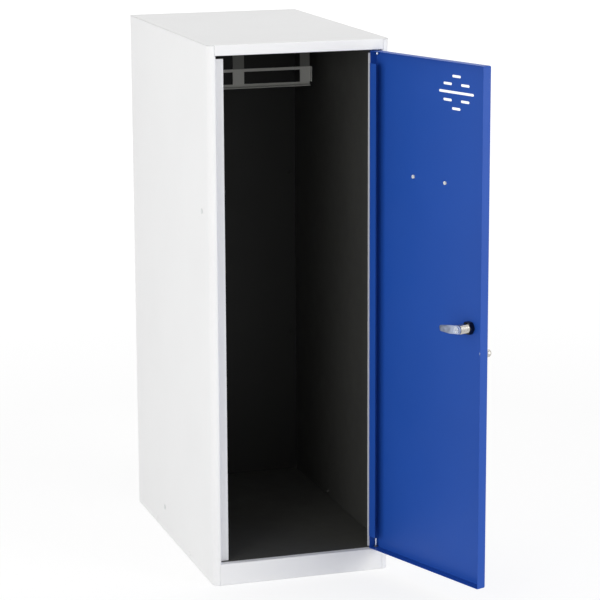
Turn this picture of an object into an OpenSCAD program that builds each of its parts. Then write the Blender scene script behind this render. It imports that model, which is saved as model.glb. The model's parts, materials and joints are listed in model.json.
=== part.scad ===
// Steel locker cabinet, one compartment, with an inset door on pivot pins.
// The door stands open; its turn to the closed place is a joint of the record.
// Origin: middle of the front foot of the floor tray, on the floor.
// Front faces -Y, hinge side +X, up +Z.

/* [Cabinet body] */
// Width over the side panels (mm)
body_w = 300; // [250:1:400]
// Depth from the front plane to the back edge (mm)
body_d = 500; // [400:1:600]
// Height from the floor to the top sheet (mm)
body_h = 880; // [700:1:1000]
// Thickness of the body sheet steel (mm)
sheet = 0.8; // [0.6:0.1:1.5]
// Outside radius of the rounded front corners (mm)
corner_r = 11; // [6:0.5:14]
// Width of the front edge beside the door opening (mm)
stile_w = 13; // [12:0.5:20]
// Height of the front lip of the top (mm)
lip_h = 17; // [12:0.5:30]
// Height of the plinth below the door (mm)
plinth_h = 36; // [25:0.5:60]

/* [Rebate] */
// Depth of the step behind the front edge (mm)
rebate_d = 18; // [16:0.5:24]
// Width of the flange the door stands in front of (mm)
rebate_w = 17; // [12:0.5:22]

/* [Door] */
// Depth of the folded door pan (mm)
door_t = 16; // [14:0.5:18]
// Thickness of the door sheet (mm)
door_sheet = 0.8; // [0.6:0.1:1.2]
// Gap beside the door (mm)
door_gap = 1.8; // [1.5:0.1:3]
// Gap above and below the door (mm)
door_gap_z = 1.5; // [1.5:0.1:3]
// Angle the door stands open in this model (degrees)
door_open = 110; // [0:1:115]
// Width of the stiffening lip on the hinge side (mm)
door_lip = 16; // [10:0.5:24]
// Length cut out of that lip at each pivot (mm)
lip_notch = 20; // [15:1:40]

/* [Pivots] */
// Pivot line behind the front plane (mm)
pivot_back = 4; // [4:0.1:6]
// Pivot line in from the hinge edge of the door (mm)
pivot_in = 5; // [4.5:0.1:8]
// Diameter of the pivot pins (mm)
pin_d = 4; // [3:0.1:4]
// Length of lower pin standing above the floor sheet (mm)
pin_up = 17; // [10:1:30]
// Length of upper pin hanging below the lip (mm)
pin_down = 8; // [6:0.5:12]

/* [Vent slots] */
// Distance of the slot group from the hinge edge (mm)
vent_u = 191.5; // [100:0.5:215]
// Distance of the middle slot from the door top (mm)
vent_drop = 49; // [40:0.5:120]
// Length of a short slot (mm)
vent_short = 20; // [12:0.5:26]
// Length of the middle slot (mm)
vent_long = 81; // [50:1:90]
// Height of every slot (mm)
vent_slot_h = 4; // [3:0.1:6]
// Spacing of the rows (mm)
vent_pitch = 12.5; // [8:0.5:16]

/* [Label holder] */
// Distance of the holder middle from the hinge edge (mm)
label_u = 130; // [60:1:200]
// Distance of the holder middle from the door top (mm)
label_drop = 192; // [120:1:300]
// Spacing of the two studs (mm)
label_pitch = 76; // [60:1:90]
// Height of the holder (mm)
label_h = 38; // [30:1:60]
// Diameter of a stud (mm)
stud_d = 5.9; // [4:0.1:7]

/* [Lock] */
// Distance of the lock from the free edge of the door (mm)
lock_in = 40; // [30:0.5:60]
// Distance of the lock from the door top (mm)
lock_drop = 411; // [300:0.5:500]
// Diameter of the threaded lock barrel (mm)
barrel_d = 16; // [16:0.5:20]
// Reach of the barrel behind the door skin (mm)
barrel_l = 25; // [24:0.5:32]
// Depth of each of the two flats along the barrel (mm)
barrel_cut = 1.25; // [0.5:0.05:1.25]
// Diameter of the turning core (mm)
core_d = 10.5; // [10:0.5:13]
// Wall of the lock nut over the thread, at its flats (mm)
nut_wall = 1.5; // [1.5:0.5:4]
// Thickness of the lock nut (mm)
nut_t = 9; // [4:0.5:12]
// Length of the cam from the lock axis (mm)
cam_l = 48.5; // [40:0.5:49]
// Width of the cam at the core (mm)
cam_w = 13.5; // [12:0.5:18]
// Distance of the bend of the cam from the lock axis (mm)
cam_bend = 19; // [12:0.5:30]
// Turn of the cam below level, with the door as it stands open (deg)
cam_turn = 7; // [0:1:20]

/* [Pull knob] */
// Distance of the knob from the free edge of the door (mm)
knob_in = 12; // [10:0.1:24]
// Distance of the knob below the lock (mm)
knob_below = 37; // [30:0.5:80]
// Diameter of the knob head (mm)
knob_d = 13; // [10:0.5:20]
// Height of the knob off the door (mm)
knob_h = 15.5; // [12:0.5:26]

/* [Small hardware] */
// Diameter of the face plate of the lock (mm)
face_d = 24; // [20:0.5:30]
// Thickness of the face plate of the lock (mm)
face_t = 2.5; // [1.5:0.1:4]
// Thickness of the cam (mm)
cam_t = 2; // [1.5:0.1:2.5]
// Diameter of the screws in the lock core and the knob (mm)
screw_d = 4; // [3:0.1:4]
// Diameter of the head of the cam screw (mm)
cam_head_d = 11; // [9:0.5:12]
// Height of the head of the cam screw (mm)
cam_head_h = 2.6; // [2:0.1:4]
// Diameter of the head of the knob screw (mm)
knob_head_d = 7.6; // [7:0.1:10]
// Height of the head of the knob screw (mm)
knob_head_h = 2.4; // [2:0.1:4]
// Depth of the crossed slots in the screw heads (mm)
cross_deep = 1; // [0.6:0.1:1.4]
// Diameter of the foot of the knob (mm)
knob_foot_d = 9.6; // [8:0.1:12]
// Height of the foot of the knob (mm)
knob_foot_h = 1.6; // [1:0.1:3]
// Diameter of the neck of the knob (mm)
knob_neck_d = 6.8; // [6:0.1:9]
// Diameter of the brim of a pivot bush (mm)
bush_brim_d = 7.6; // [7:0.1:9]
// Reach of a pivot bush into the door (mm)
bush_in = 2.5; // [1:0.1:5]
// Thickness of the plates that hold the pivot pins (mm)
plate_t = 2.5; // [2:0.1:4]
// Height of the heads of the pivot pins (mm)
pin_head_h = 2; // [1:0.1:3]

/* [Joints of the sheets] */
// Width of the fold behind the back panel (mm)
rear_fold = 20; // [16:1:30]
// Depth of the folds under the top and of the rear foot (mm)
tray_fold = 14; // [10:1:20]
// Distance of the outer back rivets from the top and bottom (mm)
back_rivet_end = 60; // [30:1:100]
// Distance of the back rivets from the side (mm)
back_rivet_in = 12; // [9:0.5:15]
// Distance of the front base rivet behind the front plane (mm)
base_rivet_front = 150; // [60:1:200]
// Distance of the rear base rivet behind the front plane (mm)
base_rivet_rear = 366; // [300:1:400]
// Height of the base rivets above the floor (mm)
base_rivet_z = 9; // [7:0.5:20]
// Distance of the upper joining hole behind the front plane (mm)
plug_front = 45; // [35:1:60]
// Distance of the upper joining hole below the top (mm)
plug_drop = 268; // [200:1:400]
// Distance of the lower joining hole behind the front plane (mm)
plug_rear = 313; // [250:1:380]
// Height of the lower joining hole above the floor sheet (mm)
plug_rise = 7.5; // [6:0.5:20]
// Diameter of the joining holes' plugs (mm)
plug_d = 5.9; // [4:0.1:8]
// Width of the brim of a plug (mm)
plug_brim = 1.5; // [1:0.1:2]

/* [Hanging rail] */
// Distance of the rail behind the front plane (mm)
rail_back = 345; // [200:1:400]
// Width of the rail frame (mm)
rail_w = 260; // [200:1:272]
// Height of the rail frame (mm)
rail_h = 33; // [25:0.5:60]
// Distance of the frame top below the cabinet top (mm)
rail_drop = 83; // [50:1:150]
// Width of each upright of the frame (mm)
rail_post = 20; // [14:0.5:30]
// Depth of the folded foot and ends of the frame (mm)
rail_fold = 6; // [4:0.5:10]
// Length of the feet under the cabinet top (mm)
rail_foot = 14; // [10:0.5:20]
// Thickness of the frame (mm)
rail_t = 1.5; // [1.2:0.1:2]

/* [Hidden] */
$fn = 72;
// clearance between neighbouring bodies
gap = 0.3;
// clearance on the radius of a pin in its bore
fit = 0.05;
hw = body_w / 2;
// depth of the foot folded back under the plinth
foot_w = 16;
front = -foot_w / 2;
back = front + body_d;
// half width of the door opening
open_x = hw - stile_w;
// half width of the lip and plinth between the round corners
mid_x = hw - corner_r - gap;
// underside of the top lip
open_top = body_h - lip_h;
// inner face of the side sheets, less the clearance
in_x = hw - sheet - gap;
top_under = body_h - sheet;
// door outline about the pivot line, closed
door_r = pivot_in;
door_w = 2 * open_x - 2 * door_gap;
door_l = door_r - door_w;
door_z0 = plinth_h + door_gap_z;
door_z1 = open_top - door_gap_z;
skin_y = -pivot_back;
rim_y = skin_y + door_t;
pivot_x = open_x - door_gap - pivot_in;
pivot_y = front + pivot_back;
lock_x = door_l + lock_in;
lock_z = door_z1 - lock_drop;
knob_x = door_l + knob_in;
knob_z = lock_z - knob_below;
vent_x = door_r - vent_u;
vent_z = door_z1 - vent_drop;
label_x = door_r - label_u;
label_z = door_z1 - label_drop;
barrel_end = skin_y + door_sheet + barrel_l;
barrel_flat = barrel_d / 2 - barrel_cut;
nut_w = barrel_d + 2 * nut_wall;
cam_y = barrel_end + 0.4;
// height of the bent tip of the cam towards the door skin
cam_step = 5;
// half width of the square that drives the cam
square_r = 3.6;
screw_bore = screw_d + 2 * fit;
bush_d = 5.8;
pin_head = 2 * (pivot_back - sheet - gap);
rail_y = front + rail_back;
rail_top = body_h - rail_drop;
// reach of the pivot plates beside the pin, away from and towards the side
plate_x = [14, 8];
// height of the upper bar of the rail frame
rail_bar = 5;
// start of the inner folds behind the front, and their cut back at the ends
fold_y = front + 25;
fold_end = 4;
base_rivet_d = 4;
back_rivet_d = 3.2;
base_rivet_y = [front + base_rivet_front, front + base_rivet_rear];
back_rivet_z = [back_rivet_end, body_h / 3, 2 * body_h / 3, body_h - back_rivet_end];
// places of the joining holes, along Y and Z
plug_at = [[front + plug_front, body_h - plug_drop], [front + plug_rear, plinth_h + plug_rise]];

// Box from one corner to the opposite one.
module box(a, b) {
    translate(a) cube([b[0] - a[0], b[1] - a[1], b[2] - a[2]]);
}

// Rod along Z from z0 to z1.
module rod(d, z0, z1) {
    translate([0, 0, z0]) cylinder(d = d, h = z1 - z0);
}

// Rod along Y from y0 to y1.
module rod_y(d, y0, y1) {
    translate([0, y0, 0]) rotate([-90, 0, 0]) cylinder(d = d, h = y1 - y0);
}

// Rod along X from x0 to x1.
module rod_x(d, x0, x1) {
    translate([x0, 0, 0]) rotate([0, 90, 0]) cylinder(d = d, h = x1 - x0);
}

// Slot with round ends along X, cut through the door skin.
module slot(l, h) {
    box([-(l - h) / 2, -1, -h / 2], [(l - h) / 2, door_sheet + 1, h / 2]);
    for (s = [-1, 1]) translate([s * (l - h) / 2, 0, 0]) rod_y(h, -1, door_sheet + 1);
}

// Puts door parts from the closed place into the open one.
module on_door() {
    translate([pivot_x, pivot_y, 0]) rotate([0, 0, door_open]) children();
}

// Quarter ring of the rounded front corner, seen from above.
module corner_ring(z0, z1) {
    translate([-hw + corner_r, front + corner_r, z0]) intersection() {
        difference() {
            cylinder(r = corner_r, h = z1 - z0);
            translate([0, 0, -1]) cylinder(r = corner_r - sheet, h = z1 - z0 + 2);
        }
        translate([-corner_r - 1, -corner_r - 1, -1])
            cube([corner_r + 1, corner_r + 1, z1 - z0 + 2]);
    }
}

// Side panel with its rounded corner, front edge, step and rear fold.
module side_panel() {
    ztop = top_under - gap;
    f0 = plinth_h + gap;
    f1 = open_top - gap;
    difference() {
        union() {
            box([-hw, front + corner_r, 0], [-hw + sheet, back, ztop]);
            corner_ring(0, ztop);
            box([-hw + corner_r, front, f0], [-open_x, front + sheet, f1]);
            box([-open_x - sheet, front, f0], [-open_x, front + rebate_d + sheet, f1]);
            box([-open_x - sheet, front + rebate_d, f0],
                [-open_x + rebate_w, front + rebate_d + sheet, f1 - 6.5]);
            box([-hw, back - sheet, 0], [-hw + rear_fold, back, ztop]);
        }
        for (p = plug_at) translate([0, p[0], p[1]])
            rod_x(plug_d + 2 * fit, -hw - 1, -hw + 5);
        for (y = base_rivet_y) translate([0, y, base_rivet_z])
            rod_x(base_rivet_d + 2 * fit, -hw - 1, -hw + 5);
        for (z = back_rivet_z) translate([-hw + back_rivet_in, 0, z])
            rod_y(back_rivet_d + 2 * fit, back - 5, back + 1);
    }
}

module side_left() { color("white") side_panel(); }

module side_right() { color("white") mirror([1, 0, 0]) side_panel(); }

// Flat back sheet behind the folds of the sides.
module back_panel() {
    y1 = back - sheet - gap;
    color("white") difference() {
        box([-in_x, y1 - sheet, 1], [in_x, y1, top_under - gap]);
        for (s = [-1, 1]) for (z = back_rivet_z) translate([s * (hw - back_rivet_in), 0, z])
            rod_y(back_rivet_d + 2 * fit, y1 - 5, y1 + 1);
    }
}

// Tray of the top with its front lip and the fold under the lip.
module top_panel() {
    yb = back - 2 * sheet - 2 * gap;
    color("white") difference() {
        union() {
            box([-hw, front + corner_r, top_under], [hw, back, body_h]);
            box([-hw + corner_r, front, top_under], [hw - corner_r, back - 1, body_h]);
            for (s = [-1, 1]) translate([s * (hw - corner_r), front + corner_r, top_under])
                cylinder(r = corner_r, h = sheet);
            box([-mid_x, front, open_top], [mid_x, front + sheet, body_h]);
            box([-mid_x, front, open_top], [mid_x, front + rebate_d, open_top + sheet]);
            box([-mid_x, front + rebate_d - sheet, open_top],
                [mid_x, front + rebate_d, open_top + 8]);
            for (s = [-1, 1]) translate([s * (in_x - sheet / 2), 0, 0])
                box([-sheet / 2, fold_y, top_under - tray_fold],
                    [sheet / 2, yb - fold_end, body_h]);
            box([-in_x + fold_end, yb - sheet - gap, top_under - tray_fold],
                [in_x - fold_end, yb - gap, body_h]);
        }
        translate([pivot_x, pivot_y, 0]) rod(pin_d + 1, open_top - 1, open_top + sheet + 1);
    }
}

// Floor with the plinth front, the side folds and the rear foot.
module floor_tray() {
    yb = back - 2 * sheet - 2 * gap;
    z1 = plinth_h;
    color("white") difference() {
        union() {
            box([-in_x, front + corner_r + gap, z1 - sheet], [in_x, yb - gap, z1]);
            box([-mid_x, front, z1 - sheet], [mid_x, front + corner_r + 1, z1]);
            box([-mid_x, front, 0], [mid_x, front + sheet, z1]);
            box([-mid_x, front, 0], [mid_x, front + foot_w, sheet]);
            for (s = [-1, 1]) translate([s * (in_x - sheet / 2), 0, 0])
                box([-sheet / 2, fold_y, 3], [sheet / 2, yb - fold_end, z1]);
            box([-in_x + fold_end, yb - sheet - gap, 0], [in_x - fold_end, yb - gap, z1]);
            box([-in_x + fold_end, yb - tray_fold, 0], [in_x - fold_end, yb - gap, sheet]);
        }
        translate([pivot_x, pivot_y, 0]) rod(pin_d + 1, z1 - 3, z1 + 1);
        for (s = [-1, 1]) for (y = base_rivet_y) translate([s * hw, y, base_rivet_z])
            rod_x(base_rivet_d + 2 * fit, -6, 6);
    }
}

// Folded frame that carries coat hangers, welded under the top by three straps.
module hanging_rail() {
    x1 = rail_w / 2;
    z0 = rail_top - rail_h;
    ztop = top_under - gap;
    win_w = (rail_w - 3 * rail_post) / 2;
    color("silver") difference() {
        union() {
            box([-x1, rail_y, z0], [x1, rail_y + rail_t, rail_top]);
            box([-x1, rail_y - rail_fold, z0], [x1, rail_y + rail_t, z0 + rail_t]);
            for (x = [-x1, x1 - rail_t])
                box([x, rail_y - rail_fold, z0], [x + rail_t, rail_y + rail_t, rail_top]);
            for (x = [-x1, -rail_post / 2, x1 - rail_post]) {
                box([x, rail_y, z0], [x + rail_post, rail_y + rail_t, ztop]);
                box([x, rail_y - rail_foot, ztop - rail_t],
                    [x + rail_post, rail_y + rail_t, ztop]);
            }
        }
        for (s = [-1, 1]) translate([s * (rail_post + win_w) / 2, 0, 0])
            box([-win_w / 2, rail_y - 1, z0 + rail_bar + 2],
                [win_w / 2, rail_y + rail_t + 1, rail_top - rail_bar]);
    }
}

// Thick plate that holds the upper pivot pin above the lip fold.
module hinge_plate_top() {
    z0 = open_top + sheet + gap;
    color("silver") translate([pivot_x, pivot_y, 0]) difference() {
        box([-plate_x[0], -pivot_back + sheet + gap, z0], [plate_x[1], 11, z0 + plate_t]);
        rod(pin_d + 2 * fit, z0 - 1, z0 + plate_t + 1);
    }
}

// Thick plate that holds the lower pivot pin under the floor sheet.
module hinge_plate_bottom() {
    z1 = plinth_h - sheet - gap;
    color("silver") translate([pivot_x, pivot_y, 0]) difference() {
        box([-plate_x[0], -pivot_back + sheet + gap, z1 - plate_t], [plate_x[1], 16, z1]);
        rod(pin_d + 2 * fit, z1 - plate_t - 1, z1 + 1);
    }
}

// Upper pivot pin with its head above the plate.
module pin_top() {
    z0 = open_top + sheet + 2 * gap + plate_t;
    color("silver") translate([pivot_x, pivot_y, 0]) {
        rod(pin_d, open_top - pin_down, z0 + 1);
        rod(pin_head, z0, z0 + pin_head_h);
    }
}

// Lower pivot pin with its head below the plate.
module pin_bottom() {
    z1 = plinth_h - sheet - 2 * gap - plate_t;
    color("silver") translate([pivot_x, pivot_y, 0]) {
        rod(pin_d, z1 - 1, plinth_h + pin_up);
        rod(pin_head, z1 - pin_head_h, z1);
    }
}

// Rivets that join the back sheet to the rear folds.
module back_rivets() {
    y1 = back - sheet - gap;
    color("silver") for (s = [-1, 1]) for (z = back_rivet_z)
        translate([s * (hw - back_rivet_in), 0, z]) {
            rod_y(back_rivet_d, y1 - 3, back + gap);
            rod_y(2 * back_rivet_d, back + gap, back + gap + 0.9);
            rod_y(1.5 * back_rivet_d, y1 - sheet - gap - 1.5, y1 - sheet - gap);
        }
}

// Rivets that join the sides to the folds of the floor tray.
module base_rivets() {
    color("silver") for (s = [0, 1]) mirror([s, 0, 0]) for (y = base_rivet_y)
        translate([-hw, y, base_rivet_z]) {
            rod_x(base_rivet_d, -gap, 2 * sheet + 3);
            rod_x(2 * base_rivet_d, -gap - 1, -gap);
            rod_x(1.5 * base_rivet_d, 2 * sheet + 2 * gap, 2 * sheet + 2 * gap + 1.8);
        }
}

// Plastic plugs in the holes meant for joining cabinets side by side.
module joint_plugs() {
    color("white") for (s = [0, 1]) mirror([s, 0, 0]) for (p = plug_at)
        translate([-hw, p[0], p[1]]) {
            rod_x(plug_d, -gap, sheet + 3);
            rod_x(plug_d + 2 * plug_brim, -gap - 0.8, -gap);
        }
}

// Folded door pan with vent slots and one stiffening lip.
module door_pan() {
    color("blue") on_door() difference() {
        union() {
            box([door_l, skin_y, door_z0], [door_r, skin_y + door_sheet, door_z1]);
            box([door_l, skin_y, door_z0], [door_r, rim_y, door_z0 + door_sheet]);
            box([door_l, skin_y, door_z1 - door_sheet], [door_r, rim_y, door_z1]);
            box([door_l, skin_y, door_z0], [door_l + door_sheet, rim_y, door_z1]);
            box([door_r - door_sheet, skin_y, door_z0], [door_r, rim_y, door_z1]);
            box([door_r - door_lip, rim_y - door_sheet, door_z0 + lip_notch],
                [door_r, rim_y, door_z1 - lip_notch]);
        }
        rod(bush_d + 2 * fit, door_z0 - 1, door_z0 + 2);
        rod(bush_d + 2 * fit, door_z1 - 2, door_z1 + 1);
        translate([vent_x, skin_y, vent_z]) {
            slot(vent_long, vent_slot_h);
            for (s = [-1, 1]) {
                translate([0, 0, s * 2 * vent_pitch]) slot(vent_short, vent_slot_h);
                for (k = [-1, 1]) translate([k * vent_short * 1.02, 0, s * vent_pitch])
                    slot(vent_short, vent_slot_h);
            }
        }
        for (s = [-1, 1]) translate([label_x + s * label_pitch / 2, 0, label_z])
            rod_y(stud_d + 2 * fit, skin_y - 1, skin_y + 2);
        translate([lock_x, 0, lock_z]) rod_y(barrel_d + 2 * fit, skin_y - 1, skin_y + 2);
        translate([knob_x, 0, knob_z]) rod_y(screw_bore, skin_y - 1, skin_y + 2);
    }
}

// Plastic bush in the top fold of the door, turning on the upper pin.
module bush_top() {
    color("dimgray") on_door() difference() {
        union() {
            rod(bush_d, door_z1 - door_sheet - bush_in, door_z1 + 1);
            rod(bush_brim_d, door_z1 + gap, door_z1 + door_gap_z - gap);
        }
        rod(pin_d + 2 * fit, door_z1 - 10, door_z1 + 10);
    }
}

// Plastic bush in the bottom fold of the door, turning on the lower pin.
module bush_bottom() {
    color("dimgray") on_door() difference() {
        union() {
            rod(bush_d, door_z0 - 1, door_z0 + door_sheet + bush_in);
            rod(bush_brim_d, door_z0 - door_gap_z + gap, door_z0 - gap);
        }
        rod(pin_d + 2 * fit, door_z0 - 10, door_z0 + 10);
    }
}

// Places lock parts on the lock axis of the door.
module at_lock() {
    on_door() translate([lock_x, 0, lock_z]) children();
}

// Threaded lock barrel with its round face plate outside.
module lock_barrel() {
    flat_y = skin_y + door_sheet + gap;
    color("silver") at_lock() difference() {
        union() {
            rod_y(barrel_d, skin_y - gap, barrel_end);
            rod_y(face_d, skin_y - gap - face_t, skin_y - gap);
        }
        rod_y(core_d + 2 * fit, skin_y - 10, barrel_end + 1);
        for (m = [0, 1]) mirror([0, 0, m])
            box([-barrel_d, flat_y, barrel_flat], [barrel_d, barrel_end + 1, barrel_d]);
    }
}

// Dark nut that clamps the barrel from inside the door.
module lock_nut() {
    y0 = skin_y + door_sheet + gap;
    color("black") at_lock() difference() {
        translate([0, y0, 0]) rotate([-90, 0, 0]) cylinder(d = nut_w / cos(30), h = nut_t, $fn = 6);
        rod_y(barrel_d + 2 * fit, y0 - 1, y0 + nut_t + 1);
    }
}

// Places the turning parts of the lock, level when the cam is turned back.
module at_cam() {
    at_lock() rotate([0, cam_turn, 0]) children();
}

// Turning core with the keyway in front and a square for the cam behind.
module lock_core() {
    r = square_r;
    color("silver") at_cam() difference() {
        union() {
            rod_y(core_d, skin_y - gap - face_t - 0.5, barrel_end + 0.1);
            box([-r, barrel_end, -r], [r, cam_y + cam_t - 0.2, r]);
        }
        box([-0.8, skin_y - 5, -4], [0.8, skin_y + 4, 4]);
        rod_y(screw_bore, barrel_end - 6, cam_y + cam_t + 1);
    }
}

// Bent cam; it points at the hinge while the lock is open.
module lock_cam() {
    y = cam_y;
    t = cam_t;
    s = cam_step;
    w = cam_w / 2;
    r = square_r + 0.1;
    color("silver") at_cam() difference() {
        intersection() {
            translate([0, 0, -w - 1]) linear_extrude(height = cam_w + 2)
                polygon([[-w, y], [cam_bend, y], [cam_l, y - s], [cam_l, y - s + t],
                         [cam_bend, y + t], [-w, y + t]]);
            union() {
                rod_y(cam_w, y - 10, y + 10);
                translate([0, y - 10, 0]) rotate([-90, 0, 0]) linear_extrude(height = 20)
                    polygon([[0, -w], [cam_bend, -w], [cam_l - 2.5, -w + 2], [cam_l, -w + 4],
                             [cam_l, w - 4], [cam_l - 2.5, w - 2], [cam_bend, w], [0, w]]);
            }
        }
        box([-r, y - 1, -r], [r, y + t + 1, r]);
    }
}

// Crossed slots of length l and width w in a screw head that ends at y.
module cross_slot(l, w, y) {
    for (a = [0, 90]) rotate([0, a, 0])
        box([-l / 2, y - cross_deep, -w / 2], [l / 2, y + 1, w / 2]);
}

// Screw that holds the cam on the square.
module cam_screw() {
    y = cam_y + cam_t + 0.1;
    color("silver") at_cam() difference() {
        union() {
            rod_y(screw_d, barrel_end - 5, y + 1);
            rod_y(cam_head_d, y, y + cam_head_h);
        }
        cross_slot(cam_head_d - 2, 1, y + cam_head_h);
    }
}

// Places knob parts on the knob axis of the door.
module at_knob() {
    on_door() translate([knob_x, 0, knob_z]) children();
}

// Small turned knob on the outside of the door.
module pull_knob() {
    r = knob_d / 2;
    y = skin_y - gap;
    color("silver") at_knob() difference() {
        translate([0, y, 0]) rotate([90, 0, 0]) rotate_extrude() union() {
            square([knob_foot_d / 2, knob_foot_h]);
            square([knob_neck_d / 2, knob_h - r]);
            intersection() {
                translate([0, knob_h - r]) circle(r = r);
                square([r, knob_h]);
            }
        }
        rod_y(screw_bore, y - knob_h + 7, y + 1);
    }
}

// Screw that holds the knob from inside the pan.
module knob_screw() {
    y = skin_y + door_sheet + gap;
    color("silver") at_knob() difference() {
        union() {
            rod_y(screw_d, skin_y - knob_h + 9, y + 1);
            rod_y(knob_head_d, y, y + knob_head_h);
        }
        cross_slot(knob_head_d - 2, 0.8, y + knob_head_h);
    }
}

// Places label parts on the middle of the label holder.
module at_label() {
    on_door() translate([label_x, skin_y - gap, label_z]) children();
}

// Plastic label holder with two studs through the door skin.
module label_holder() {
    w = label_pitch / 2 + 7;
    h = label_h / 2;
    color("white") at_label() difference() {
        union() {
            box([-w, -3.2, -h], [w, 0, h]);
            for (s = [-1, 1]) translate([s * label_pitch / 2, 0, 0]) rod_y(stud_d, -1, 3.2);
        }
        box([-w + 13, -4, -h + 5], [w - 13, -2, h - 5]);
        box([-w + 10, -2.5, -h + 2.5], [w - 10, -1, h + 1]);
    }
}

// Plain card that slides into the holder.
module label_card() {
    w = label_pitch / 2 - 3.5;
    h = label_h / 2;
    color("ivory") at_label() box([-w, -1.6, -h + 2.9], [w, -1.3, h - 1]);
}

// Clear cover in front of the card.
module label_window() {
    w = label_pitch / 2 - 3.5;
    h = label_h / 2;
    color("lightcyan") at_label() box([-w, -2.2, -h + 2.9], [w, -1.9, h - 1]);
}

side_left();
side_right();
back_panel();
top_panel();
floor_tray();
hanging_rail();
hinge_plate_top();
hinge_plate_bottom();
pin_top();
pin_bottom();
back_rivets();
base_rivets();
joint_plugs();
door_pan();
bush_top();
bush_bottom();
lock_barrel();
lock_nut();
lock_core();
lock_cam();
cam_screw();
pull_knob();
knob_screw();
label_holder();
label_card();
label_window();
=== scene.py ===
import bmesh
import bpy
import json
import math
from mathutils import Matrix, Vector


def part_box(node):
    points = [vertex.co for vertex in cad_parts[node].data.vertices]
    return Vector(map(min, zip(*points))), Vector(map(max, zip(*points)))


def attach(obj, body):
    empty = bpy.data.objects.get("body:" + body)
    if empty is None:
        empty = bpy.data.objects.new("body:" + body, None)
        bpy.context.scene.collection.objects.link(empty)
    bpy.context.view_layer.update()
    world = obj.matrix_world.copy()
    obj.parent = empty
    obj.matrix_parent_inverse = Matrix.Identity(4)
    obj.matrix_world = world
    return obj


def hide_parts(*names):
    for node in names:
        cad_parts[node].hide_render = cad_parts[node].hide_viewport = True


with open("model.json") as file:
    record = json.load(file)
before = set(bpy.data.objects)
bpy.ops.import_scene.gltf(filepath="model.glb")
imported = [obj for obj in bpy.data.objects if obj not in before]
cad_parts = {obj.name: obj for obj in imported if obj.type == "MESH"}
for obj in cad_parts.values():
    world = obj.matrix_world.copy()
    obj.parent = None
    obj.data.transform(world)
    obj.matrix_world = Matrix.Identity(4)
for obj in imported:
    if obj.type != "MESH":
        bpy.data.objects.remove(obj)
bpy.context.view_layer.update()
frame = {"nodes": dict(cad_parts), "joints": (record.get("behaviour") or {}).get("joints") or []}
MM = 0.001

# ---------------------------------------------------------------------------
# Studio: a pale floor that runs out of sight, soft lamps and the camera.
# The camera stands at the front left, above the cabinet, and looks down on it.
scene = bpy.context.scene
scene.view_settings.view_transform = "Standard"

camera_place = (-1.1706, -3.6888, 1.314)
camera_turn = math.radians(-17.622)
camera_tilt = math.radians(-12.38)
camera_roll = math.radians(0.25)
camera = bpy.data.objects.new("camera", bpy.data.cameras.new("camera"))
scene.collection.objects.link(camera)
scene.camera = camera
camera.data.sensor_width = 36
camera.data.lens = 148.1
camera.data.clip_end = 50
camera.matrix_world = (
    Matrix.Translation(camera_place)
    @ Matrix.Rotation(camera_turn, 4, "Z")
    @ Matrix.Rotation(math.radians(90) + camera_tilt, 4, "X")
    @ Matrix.Rotation(-camera_roll, 4, "Z")
)


def linear(red, green, blue):
    """A colour written as 0-255 values, turned into the values a shader wants."""
    return tuple(((c / 255 + 0.055) / 1.055) ** 2.4 if c > 10 else c / 255 / 12.92
                 for c in (red, green, blue)) + (1,)


def softbox(name, place, aim, size, power):
    """A square lamp at one place that points at another."""
    lamp = bpy.data.objects.new(name, bpy.data.lights.new(name, "AREA"))
    scene.collection.objects.link(lamp)
    lamp.data.size = size
    lamp.data.energy = power
    lamp.location = place
    lamp.rotation_euler = (Vector(aim) - Vector(place)).to_track_quat("-Z", "Y").to_euler()


softbox("side_lamp", place=(-3.4, -0.5, 1.0), aim=(0, 0.1, 0.45), size=2.2, power=27)
softbox("key_lamp", place=(-2.9, -2.7, 1.3), aim=(0, 0.1, 0.45), size=1.6, power=35)
softbox("right_lamp", place=(2.8, -2.8, 1.1), aim=(0, 0.1, 0.4), size=2.0, power=66)
softbox("top_lamp", place=(0.2, 0.6, 3.4), aim=(0, 0.2, 0.5), size=2.4, power=21)


def seen(tree):
    """1 for rays from the camera, a reflection or a clear sheet, 0 for light."""
    path = tree.nodes.new("ShaderNodeLightPath")
    total = path.outputs["Is Camera Ray"]
    for kind in ("Is Glossy Ray", "Is Transmission Ray"):
        both = tree.nodes.new("ShaderNodeMath")
        both.operation = "MAXIMUM"
        tree.links.new(total, both.inputs[0])
        tree.links.new(path.outputs[kind], both.inputs[1])
        total = both.outputs[0]
    return total


sky_strength = 0.54
world = bpy.data.worlds.new("studio")
scene.world = world
world.use_nodes = True
sky = world.node_tree
sky.nodes.clear()
sky_out = sky.nodes.new("ShaderNodeOutputWorld")
sky_mix = sky.nodes.new("ShaderNodeMixShader")
sky_light = sky.nodes.new("ShaderNodeBackground")
sky_seen = sky.nodes.new("ShaderNodeBackground")
for shade, strength in ((sky_light, sky_strength), (sky_seen, 1)):
    shade.inputs["Color"].default_value = (1, 1, 1, 1)
    shade.inputs["Strength"].default_value = strength
sky.links.new(seen(sky), sky_mix.inputs[0])
sky.links.new(sky_light.outputs[0], sky_mix.inputs[1])
sky.links.new(sky_seen.outputs[0], sky_mix.inputs[2])
sky.links.new(sky_mix.outputs[0], sky_out.inputs["Surface"])

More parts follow.
